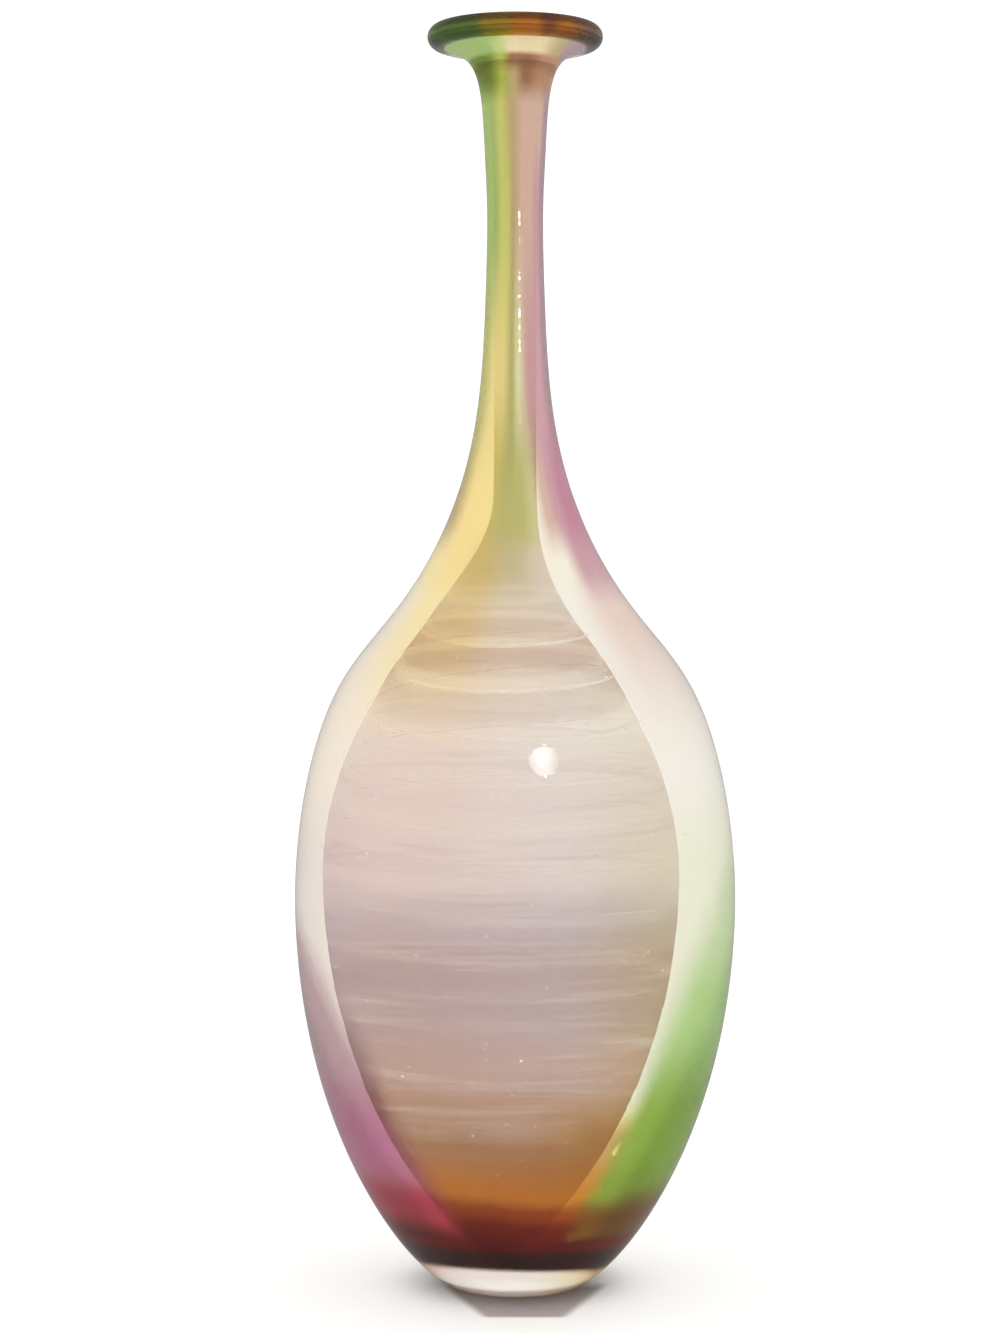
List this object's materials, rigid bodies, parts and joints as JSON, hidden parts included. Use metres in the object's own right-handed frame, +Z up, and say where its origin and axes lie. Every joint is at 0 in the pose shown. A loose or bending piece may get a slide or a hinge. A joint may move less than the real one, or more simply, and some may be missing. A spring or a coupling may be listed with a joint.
{
  "type": "bottle vase",
  "caption": "Tall bottle vase in thick cased glass: slender neck, flat flared lip, egg-shaped body with an off-centre air bubble, bands of colour and a small flat foot.",
  "frame": {"origin": "centre of the flat foot, on the surface the vase stands on", "axes": "+Z up along the neck; -Y towards the viewer of the picture; +X to the viewer's right"},
  "size_m": [0.1232, 0.1232, 0.3497],
  "materials": {
    "clear_glass": "polished, fire smooth",
    "smoke_glass": "polished, smoky beige",
    "opal_glass": "milky white, smooth",
    "ruby_glass": "polished, deep red",
    "violet_glass": "polished, violet",
    "green_glass": "polished, leaf green",
    "amber_glass": "polished, amber",
    "ivory_glass": "polished, nearly clear ivory",
    "yellow_glass": "polished, warm yellow",
    "lilac_glass": "polished, lilac",
    "olive_glass": "polished, olive green",
    "rose_glass": "polished, rose beige"
  },
  "bodies": {
    "root": {"clear_casing": "clear_glass", "core_gather": "clear_glass", "smoke_liner": "smoke_glass", "opal_thread": "opal_glass", "ruby_base_cup": "ruby_glass", "violet_flank_band": "violet_glass", "green_flank_band": "green_glass", "amber_flame_front": "amber_glass", "amber_flame_back": "amber_glass", "pale_belt": "ivory_glass", "yellow_shoulder_band": "yellow_glass", "lilac_shoulder_band": "lilac_glass", "green_neck_band": "olive_glass", "rose_neck_band": "rose_glass"}
  },
  "joints": []
}
